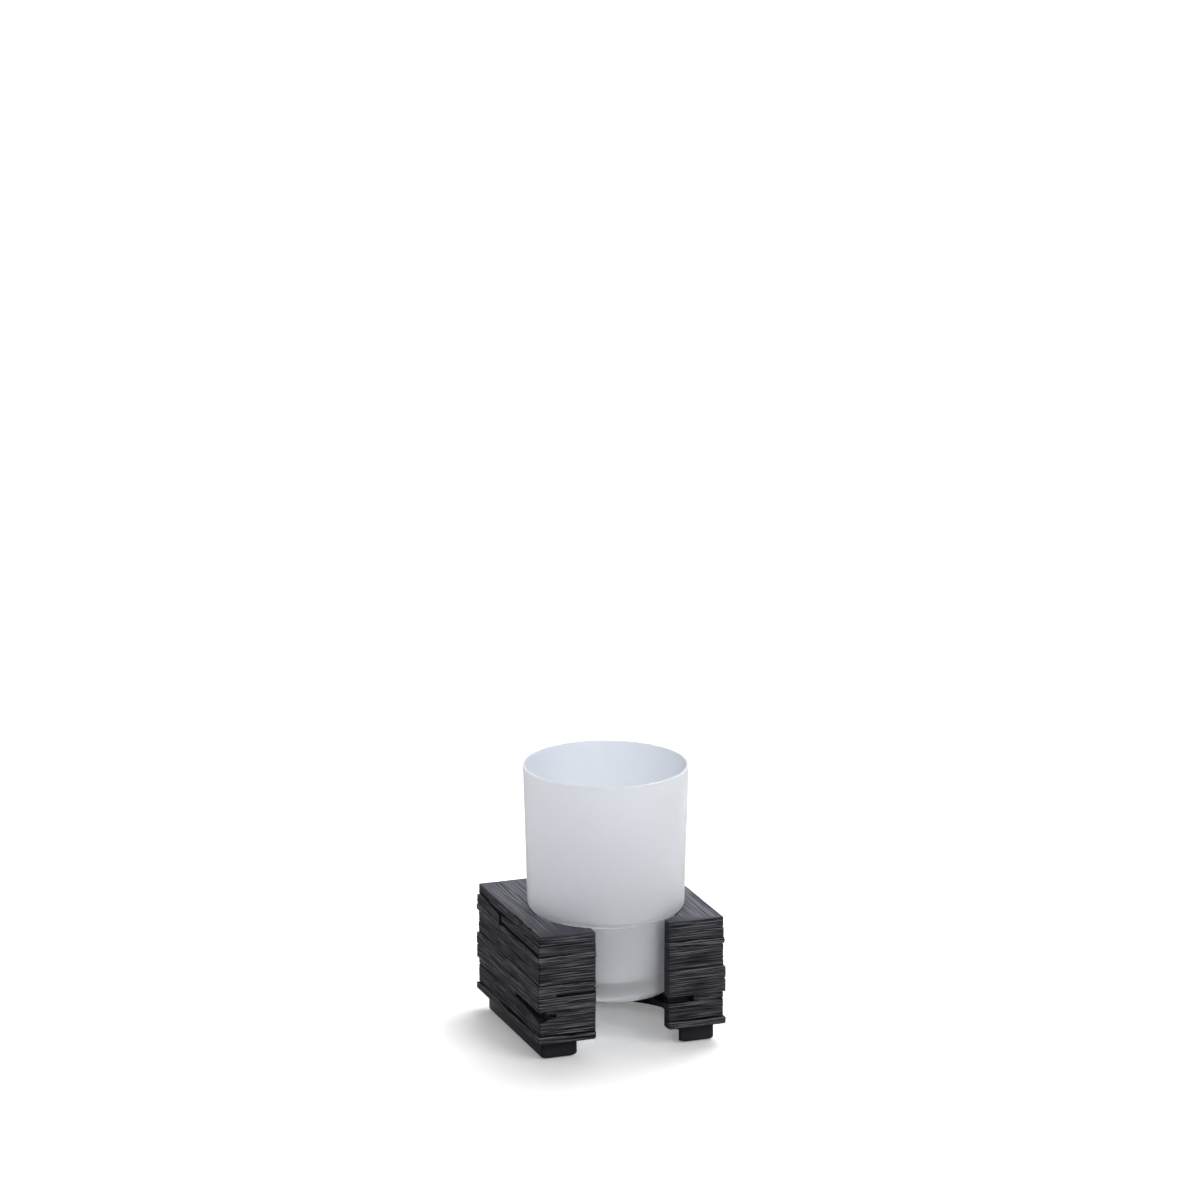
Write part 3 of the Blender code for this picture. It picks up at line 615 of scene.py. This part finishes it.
slateLook = {
    "Patch Scale": 45.0, "Grain Scale": 1500.0,
    "Dark": (0.044, 0.044, 0.051, 1), "Light": (0.065, 0.066, 0.077, 1),
    "Smoothest": 0.55, "Roughest": 0.66, "bump": 0.35, "bumpDepth": 0.06,
    "pale": (0.290, 0.292, 0.325, 1), "grooveShade": (0.0022, 0.0022, 0.0028, 1),
    "topSheen": (0.155, 0.157, 0.200, 1), "topSheenShare": 0.55, "topRoughness": 0.36,
    "frontDark": (0.014, 0.014, 0.016, 1), "frontDarkShare": 0.6,
    "toneDark": 0.72, "toneLight": 1.22, "leftShadeShare": 0.2, "leftShadeSpread": 1.4,
    "cornerShadeShare": 0.6, "cornerShadeFrom": 0.85,
    "streakLength": 22.0, "streakPitch": 0.42, "streakDepth": 0.12,
    "linePitch": 1.2, "lineShare": 0.95, "lineDrift": 16.0, "driftLength": 16.0, "driftPitch": 3.2,
    # the two values of a mask that a colour runs between, with its strength at each
    "paleStreaks": (0.53, 0.62, 0.0, 0.65), "highlightHeights": (0.64, 0.90, 0.0, 0.9),
    "darkStreaks": (0.38, 0.47, 1.0, 0.0), "grooveShadeHeights": (0.18, 0.54, 1.0, 0.0),
    "linedStreaks": (0.40, 0.58, 0.25, 1.0), "paleWaves": (0.1, 0.9), "darkWaves": (-0.95, -0.4),
}


def slateMaterial(look):
    material = addMaterial("slateResin", look, {"Specular IOR Level": 0.03})
    tree = material.node_tree
    shader = tree.nodes["Principled BSDF"]
    mottled, dull, grainy = (shader.inputs[socket].links[0].from_socket
                             for socket in ("Base Color", "Roughness", "Normal"))
    height, grit, smoothFront, top, tone, corner, rimShade, left = (
        addNode(tree, "ShaderNodeAttribute", attribute_name=name).outputs["Fac"]
        for name in ("height", "grit", "smoothFront", "top", "tone", "corner", "rimShade", "left"))
    grain = addNode(tree, "ShaderNodeUVMap", uv_map="grain").outputs["UV"]

    def noiseAlong(length, pitch, **settings):
        stretched = addNode(tree, "ShaderNodeMapping", {
            "Vector": grain, "Scale": (1 / (look[length] * mm), 1 / (look[pitch] * mm), 1)})
        return addNode(tree, "ShaderNodeTexNoise", {
            "Vector": stretched.outputs[0], "Scale": 1.0, **settings}).outputs["Fac"]

    # fine streaks that run along the layers, and along the lanes on the top
    streaks = noiseAlong("streakLength", "streakPitch", Detail=2.0, Roughness=0.6)
    # pale streaks of the grain, and painted highlight where the height is high
    pale = product(tree, grit, maths(tree, "MAXIMUM", remap(tree, streaks, *look["paleStreaks"]),
                                     remap(tree, height, *look["highlightHeights"])))
    # dark streaks of the grain, and painted shade where the height is low: in the grooves and on layers that
    # stand back
    dark = maths(tree, "MAXIMUM", remap(tree, height, *look["grooveShadeHeights"]),
                 product(tree, grit, remap(tree, streaks, *look["darkStreaks"])))
    # fine lines on the top, which drift a little and come and go
    drift = product(tree, noiseAlong("driftLength", "driftPitch", Detail=1.0), look["lineDrift"])
    across = addNode(tree, "ShaderNodeSeparateXYZ", {"Vector": grain}).outputs["Y"]
    across = product(tree, across, 2 * pi / (look["linePitch"] * mm))
    wave = maths(tree, "SINE", maths(tree, "ADD", across, drift))
    lined = product(tree, product(tree, top, grit), remap(tree, streaks, *look["linedStreaks"]))
    pale = maths(tree, "MAXIMUM", pale, product(
        tree, lined, remap(tree, wave, *look["paleWaves"], 0.0, look["lineShare"])))
    dark = maths(tree, "MAXIMUM", dark, product(
        tree, lined, remap(tree, wave, *look["darkWaves"], look["lineShare"], 0.0)))
    # painted sheen: the top is painted paler, standing in for the light that it catches
    color = mixColors(tree, product(tree, top, look["topSheenShare"]), mottled, look["topSheen"])
    color = mixColors(tree, pale, color, look["pale"])
    color = mixColors(tree, dark, color, look["grooveShade"])
    # darker towards the front of the top, where the lanes fade
    color = mixColors(tree, product(tree, smoothFront, look["frontDarkShare"]), color, look["frontDark"])
    # every course has its own tone; painted shade makes the left side darker and spreads its course tones
    # wider
    spread = maths(tree, "ADD", 1.0, product(tree, left, look["leftShadeSpread"]))
    tone = maths(tree, "ADD", 0.5, product(tree, maths(tree, "SUBTRACT", tone, 0.5), spread))
    shade = remap(tree, tone, 0.0, 1.0, look["toneDark"], look["toneLight"])
    # painted shade: a dark line runs down the upright corners and below the rim
    edges = maths(tree, "MAXIMUM", corner, rimShade)
    shade = product(tree, shade, remap(tree, edges, look["cornerShadeFrom"], 1.0, 1.0, 1 - look["cornerShadeShare"]),
                    remap(tree, left, 0.0, 1.0, 1.0, 1 - look["leftShadeShare"]))
    shaded = addNode(tree, "ShaderNodeVectorMath", {0: color, "Scale": shade}, operation="SCALE").outputs[0]
    plug(tree, shaded, shader.inputs["Base Color"])
    plug(tree, mixFloats(tree, top, dull, look["topRoughness"]), shader.inputs["Roughness"])
    bump = addNode(tree, "ShaderNodeBump", {
        "Height": product(tree, streaks, grit), "Strength": 1.0, "Distance": look["streakDepth"] * mm,
        "Normal": grainy})
    plug(tree, bump.outputs["Normal"], shader.inputs["Normal"])
    return material


slate = slateMaterial(slateLook)
slateBlock = addPiece("slateBlock", blockMesh(block), slate)
layers = slateBlock.modifiers.new("slateLayers", "NODES")
layers.node_group = slateTree()
setTreeInputs(layers, {**relief, "Material": slate})
cutters = []
for turn in (1, 2):
    chosen = [gap for gap in gaps.values() if gap["round"] == turn]
    cutters.append(gapCutter("gapRound%d" % turn, chosen, gapShapeAndShade))
for cutter in cutters:
    cut = slateBlock.modifiers.new(cutter.name, "BOOLEAN")
    cut.operation, cut.solver, cut.object = "DIFFERENCE", "MANIFOLD", cutter
bakeModifiers(slateBlock, smoothAngle=28)
for cutter in cutters:
    bpy.data.objects.remove(cutter)
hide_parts("holder_block")
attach(slateBlock, "holder")
print("slate block:", len(slateBlock.data.polygons), "faces")


# Frosted tumbler: one turned profile, up the outside and down the inside

tumbler = {
    "axisY": -5.9, "bottomZ": 20.2739, "rimRadius": 33.9, "shoulderRadius": 32.3, "shoulderRound": 3.5,
    "lowerRadius": 28.4, "bottomRound": 3.0, "lowerHeight": 33.1, "upperHeight": 61.4,
    "wall": 2.2, "rimWall": 1.3, "floor": 8.0, "floorRound": 4.0, "underShoulder": 0.25,
    "puntRadius": 21.0, "puntDepth": 0.8,
    "puntEdge": ((-2.0, 1.0), (-0.6, 0.8), (0.0, 0.1), (0.5, 0.0)),  # out and up, in depths of the punt
    "steps": 160, "roundSteps": 10,
}


def tumblerProfile(size):
    shoulderZ = size["lowerHeight"]
    rimZ, wall, steps = shoulderZ + size["upperHeight"], size["wall"], size["roundSteps"]
    rimRound = size["rimWall"] / 2
    innerLower, innerShoulder = size["lowerRadius"] - wall, size["shoulderRadius"] - wall
    stepRound = min(size["shoulderRound"], innerShoulder - innerLower)
    stepZ = shoulderZ + wall
    depth = size["puntDepth"]
    profile = [(0, depth)]
    profile += [(size["puntRadius"] + out * depth, up * depth) for out, up in size["puntEdge"]]
    profile += arc(size["lowerRadius"] - size["bottomRound"], size["bottomRound"], size["bottomRound"],
                   -pi / 2, 0, steps)
    profile += [(size["lowerRadius"], shoulderZ - size["underShoulder"])]
    profile += arc(size["shoulderRadius"] - size["shoulderRound"], shoulderZ + size["shoulderRound"],
                   size["shoulderRound"], -pi / 2, 0, steps)
    profile += arc(size["rimRadius"] - rimRound, rimZ - rimRound, rimRound, 0, pi, steps)
    profile += arc(innerShoulder - stepRound, stepZ + stepRound, stepRound, 0, -pi / 2, steps)
    profile += [(innerLower, stepZ - wall / 2)]
    profile += arc(innerLower - size["floorRound"], size["floor"] + size["floorRound"], size["floorRound"],
                   0, -pi / 2, steps)
    profile += [(0, size["floor"])]
    return profile


def turnedMesh(name, profile, steps, centerY=0.0, bottomZ=0.0):
    # rings of points about the axis, with one point where the profile meets it
    verts, rings, faces = [], [], []
    for radius, z in profile:
        turns = steps if radius > 0 else 1
        rings.append([len(verts) + i % turns for i in range(steps + 1)])
        for i in range(turns):
            angle = 2 * pi * i / steps
            verts.append((radius * cos(angle) * mm, (centerY + radius * sin(angle)) * mm, (bottomZ + z) * mm))
    for low, high in zip(rings, rings[1:]):
        for i in range(steps):
            corners = (low[i], low[i + 1], high[i + 1], high[i])
            faces.append(tuple(dict.fromkeys(corners)))
    mesh = bpy.data.meshes.new(name)
    mesh.from_pydata(verts, [], faces)
    # from 0 on the outside to 1 past the profile's highest point, on the inside
    top = max(range(len(profile)), key=lambda number: profile[number][1])
    inside = [float(number > top) for number, ring in enumerate(rings) for _ in set(ring)]
    mesh.attributes.new("inside", "FLOAT", "POINT").data.foreach_set("value", inside)
    return mesh


glassLook = {
    "Patch Scale": 30.0, "Grain Scale": 2400.0,
    "Dark": (0.932, 0.935, 0.946, 1), "Light": (0.957, 0.960, 0.971, 1),
    "Smoothest": 0.60, "Roughest": 0.68, "bump": 0.25, "bumpDepth": 0.03,
    "inside": (0.820, 0.842, 0.882, 1), "insideShaded": (0.530, 0.580, 0.665, 1),
    "edge": (1.0, 1.0, 1.0, 1), "edgeHighlightShare": 0.7, "edgeRoughness": 0.15,
    "highlightBands": ((20.6, 0.7), (54.1, 0.9)), "highlightCore": 0.4,  # middle and half height, and the full share
    "shader": {"Transmission Weight": 0.76, "IOR": 1.5, "Metallic": 0.0,
               "Sheen Weight": 0.5, "Sheen Roughness": 0.3},
}


def frostedMaterial(look):
    material = addMaterial("frostedGlass", look, look["shader"])
    tree = material.node_tree
    shader = tree.nodes["Principled BSDF"]
    # painted highlight: the shoulder's corner and the bottom corner are painted paler, and are smoother than
    # the frosted walls
    mottled, dull = (shader.inputs[socket].links[0].from_socket for socket in ("Base Color", "Roughness"))
    place = tree.nodes.new("ShaderNodeTexCoord").outputs["Object"]
    level = addNode(tree, "ShaderNodeSeparateXYZ", {"Vector": place}).outputs["Z"]
    mask = 0.0
    for middle, half in look["highlightBands"]:
        away = maths(tree, "ABSOLUTE", maths(tree, "SUBTRACT", level, middle * mm))
        band = remap(tree, away, half * mm, look["highlightCore"] * half * mm, 0.0, 1.0)
        mask = maths(tree, "MAXIMUM", mask, band)
    # painted shade: the inside is painted darker and bluer where the camera sees it than in the light that it
    # gives the front wall
    inside = addNode(tree, "ShaderNodeAttribute", attribute_name="inside").outputs["Fac"]
    seen = tree.nodes.new("ShaderNodeLightPath").outputs["Is Camera Ray"]
    bowl = mixColors(tree, seen, look["inside"], look["insideShaded"])
    color = mixColors(tree, inside, mottled, bowl)
    color = mixColors(tree, product(tree, mask, look["edgeHighlightShare"]), color, look["edge"])
    plug(tree, color, shader.inputs["Base Color"])
    plug(tree, mixFloats(tree, mask, dull, look["edgeRoughness"]), shader.inputs["Roughness"])
    return material


frosted = frostedMaterial(glassLook)
cupMesh = turnedMesh("frostedTumbler", tumblerProfile(tumbler), tumbler["steps"], tumbler["axisY"],
                     tumbler["bottomZ"])
cup = addPiece("frostedTumbler", cupMesh, frosted, smoothAngle=50)
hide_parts("glass_tumbler")
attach(cup, "tumbler")
print("frosted tumbler:", len(cup.data.polygons), "faces")


# Foot frame: the CAD solid with its loose triangles merged and its edges eased

feetLook = {
    "Patch Scale": 70.0, "Grain Scale": 1800.0,
    "Dark": (0.0285, 0.0280, 0.0335, 1), "Light": (0.0400, 0.0400, 0.0475, 1),
    "Smoothest": 0.36, "Roughest": 0.46, "bump": 0.15, "bumpDepth": 0.02,
}
feetEdge = {"width": 0.15, "segments": 2, "angle": 40, "mergeDistance": 0.001, "flatAngle": 0.5}


def mergedCopy(name, node, size):
    bm = bmesh.new()
    bm.from_mesh(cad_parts[node].data)
    bmesh.ops.remove_doubles(bm, verts=bm.verts, dist=size["mergeDistance"] * mm)
    bmesh.ops.dissolve_limit(bm, angle_limit=radians(size["flatAngle"]), verts=bm.verts, edges=bm.edges)
    mesh = bpy.data.meshes.new(name)
    bm.to_mesh(mesh)
    bm.free()
    return mesh


smoothResin = addMaterial("smoothResin", feetLook, {"Specular IOR Level": 0.02})
feet = addPiece("footFrame", mergedCopy("footFrame", "foot_frame", feetEdge), smoothResin)
ease = feet.modifiers.new("easedEdges", "BEVEL")
ease.width, ease.segments = feetEdge["width"] * mm, feetEdge["segments"]
ease.limit_method, ease.angle_limit = "ANGLE", radians(feetEdge["angle"])
bakeModifiers(feet)
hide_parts("foot_frame")
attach(feet, "holder")
print("foot frame:", len(feet.data.polygons), "faces")


# Non-slip pads: one turned pad, set at the four corners by Geometry Nodes

pad = {"radius": 3.0, "height": 1.3, "edge": 0.3, "hollow": 0.1, "steps": 48, "edgeSteps": 5}
padPlaces = {"Across": 64.8 * mm, "Along": 57.42 * mm, "Center Y": 0.49 * mm}
padLook = {
    "Patch Scale": 120.0, "Grain Scale": 2600.0,
    "Dark": (0.012, 0.012, 0.012, 1), "Light": (0.022, 0.022, 0.022, 1),
    "Smoothest": 0.75, "Roughest": 0.9, "bump": 0.5, "bumpDepth": 0.05,
}


def padTree():
    tree, given = startTree("padPlaces", padPlaces)
    corners = addNode(tree, "GeometryNodeMeshGrid", {
        "Size X": given["Across"], "Size Y": given["Along"], "Vertices X": 2, "Vertices Y": 2})
    shift = addNode(tree, "ShaderNodeCombineXYZ", {"Y": given["Center Y"]}).outputs[0]
    placed = addNode(tree, "GeometryNodeSetPosition", {"Geometry": corners.outputs["Mesh"], "Offset": shift})
    pads = addNode(tree, "GeometryNodeInstanceOnPoints", {
        "Points": placed.outputs["Geometry"], "Instance": given["Geometry"]}).outputs["Instances"]
    return endTree(tree, pads, given["Material"])


def padProfile(size):
    radius, height, edge, hollow = size["radius"], size["height"], size["edge"], size["hollow"]
    underside = [(0, hollow), (radius - 3 * edge, hollow), (radius - 2 * edge, 0)]
    rounded = arc(radius - edge, edge, edge, -pi / 2, 0, size["edgeSteps"])
    return underside + rounded + [(radius, height), (0, height)]


rubber = addMaterial("padRubber", padLook, {"Specular IOR Level": 0.3})
pads = addPiece("nonSlipPads", turnedMesh("nonSlipPads", padProfile(pad), pad["steps"]), rubber)
spread = pads.modifiers.new("padPlaces", "NODES")
spread.node_group = padTree()
setTreeInputs(spread, {**padPlaces, "Material": rubber})
bakeModifiers(pads)
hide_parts("pad_front_left", "pad_front_right", "pad_back_left", "pad_back_right")
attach(pads, "holder")
print("pads:", len(pads.data.polygons), "faces")


# Studio: pale floor, soft light from above, camera at the photograph's angle

studio = {
    "floorSize": 12.0, "floorSeen": (0.96, 0.96, 0.96, 1), "floorBounce": (0.25, 0.25, 0.25, 1),
    "floorLift": 0.22, "whiteFrom": 0.22, "whiteTo": 0.60,
    "worldLight": 0.35, "worldGloss": 0.95,
    "softboxes": {
        "backSoftbox": {"place": (0.6, 0.7, 1.5), "size": 1.2, "power": 29.0},
        "frontSoftbox": {"place": (0.7, -1.4, 1.0), "size": 1.0, "power": 13.0},
    },
}
camera = {
    "azimuth": 19.89, "elevation": 15.0, "distance": 2400.0, "lens": 179.96,
    "aimAcross": -4.0, "aimForward": 0.79, "aimHeight": 186.25, "sensor": 36.0, "clip": (0.1, 30.0),
}


def addFloor(look):
    half = look["floorSize"] / 2
    mesh = bpy.data.meshes.new("studioFloor")
    corners = [(-half, -half, 0), (half, -half, 0), (half, half, 0), (-half, half, 0)]
    mesh.from_pydata(corners, [], [(0, 1, 2, 3)])
    material = bpy.data.materials.new("studioFloor")
    material.use_nodes = True
    tree = material.node_tree
    tree.nodes.clear()
    rays = tree.nodes.new("ShaderNodeLightPath").outputs
    seen = maths(tree, "MAXIMUM", rays["Is Camera Ray"], rays["Is Transmission Ray"])
    seen = maths(tree, "MAXIMUM", seen, rays["Is Glossy Ray"])
    color = mixColors(tree, seen, look["floorBounce"], look["floorSeen"])
    matt = addNode(tree, "ShaderNodeBsdfDiffuse", {"Color": color}).outputs[0]
    lift = addNode(tree, "ShaderNodeEmission", {"Strength": product(tree, seen, look["floorLift"])})
    near = addNode(tree, "ShaderNodeAddShader", {0: matt, 1: lift.outputs[0]}).outputs[0]
    # beyond the object's shadow the floor is plain white
    white = addNode(tree, "ShaderNodeEmission", {"Color": (1, 1, 1, 1), "Strength": seen}).outputs[0]
    distance = addNode(tree, "ShaderNodeVectorMath", {
        0: tree.nodes.new("ShaderNodeTexCoord").outputs["Object"]}, operation="LENGTH").outputs["Value"]
    far = product(tree, seen, remap(tree, distance, look["whiteFrom"], look["whiteTo"], 0.0, 1.0))
    both = addNode(tree, "ShaderNodeMixShader", {0: far, 1: near, 2: white}).outputs[0]
    plug(tree, both, tree.nodes.new("ShaderNodeOutputMaterial").inputs["Surface"])
    mesh.materials.append(material)
    floor = bpy.data.objects.new("studioFloor", mesh)
    bpy.context.scene.collection.objects.link(floor)


def addWorld(look):
    world = bpy.data.worlds.new("studioWorld")
    world.use_nodes = True
    tree = world.node_tree
    tree.nodes.clear()
    rays = tree.nodes.new("ShaderNodeLightPath").outputs
    direct = maths(tree, "MAXIMUM", rays["Is Camera Ray"], rays["Is Transmission Ray"])
    strength = maths(tree, "MAXIMUM", direct, product(tree, rays["Is Glossy Ray"], look["worldGloss"]))
    strength = maths(tree, "MAXIMUM", strength, look["worldLight"])
    light = addNode(tree, "ShaderNodeBackground", {"Color": (1, 1, 1, 1), "Strength": strength}).outputs[0]
    plug(tree, light, tree.nodes.new("ShaderNodeOutputWorld").inputs["Surface"])
    bpy.context.scene.world = world


def addSoftbox(name, place, size, power):
    lamp = bpy.data.lights.new(name, "AREA")
    lamp.shape, lamp.size, lamp.energy = "SQUARE", size, power
    box = bpy.data.objects.new(name, lamp)
    box.location = place
    box.rotation_euler = (-Vector(place)).to_track_quat("-Z", "Y").to_euler()
    bpy.context.scene.collection.objects.link(box)


def addCamera(look):
    a, e = radians(look["azimuth"]), radians(look["elevation"])
    back = Vector((-sin(a) * cos(e), -cos(a) * cos(e), sin(e)))
    across = Vector((cos(a), -sin(a), 0))
    aim = across * look["aimAcross"] + Vector((0, look["aimForward"], look["aimHeight"]))
    lens = bpy.data.cameras.new("photoCamera")
    lens.lens, lens.sensor_width = look["lens"], look["sensor"]
    lens.clip_start, lens.clip_end = look["clip"]
    eye = bpy.data.objects.new("photoCamera", lens)
    eye.location = (aim + back * look["distance"]) * mm
    eye.rotation_mode = "QUATERNION"
    eye.rotation_quaternion = (-back).to_track_quat("-Z", "Y")
    bpy.context.scene.collection.objects.link(eye)
    bpy.context.scene.camera = eye


addFloor(studio)
addWorld(studio)
for name, softbox in studio["softboxes"].items():
    addSoftbox(name, **softbox)
addCamera(camera)
bpy.context.scene.view_settings.view_transform = "Standard"
print("studio ready")
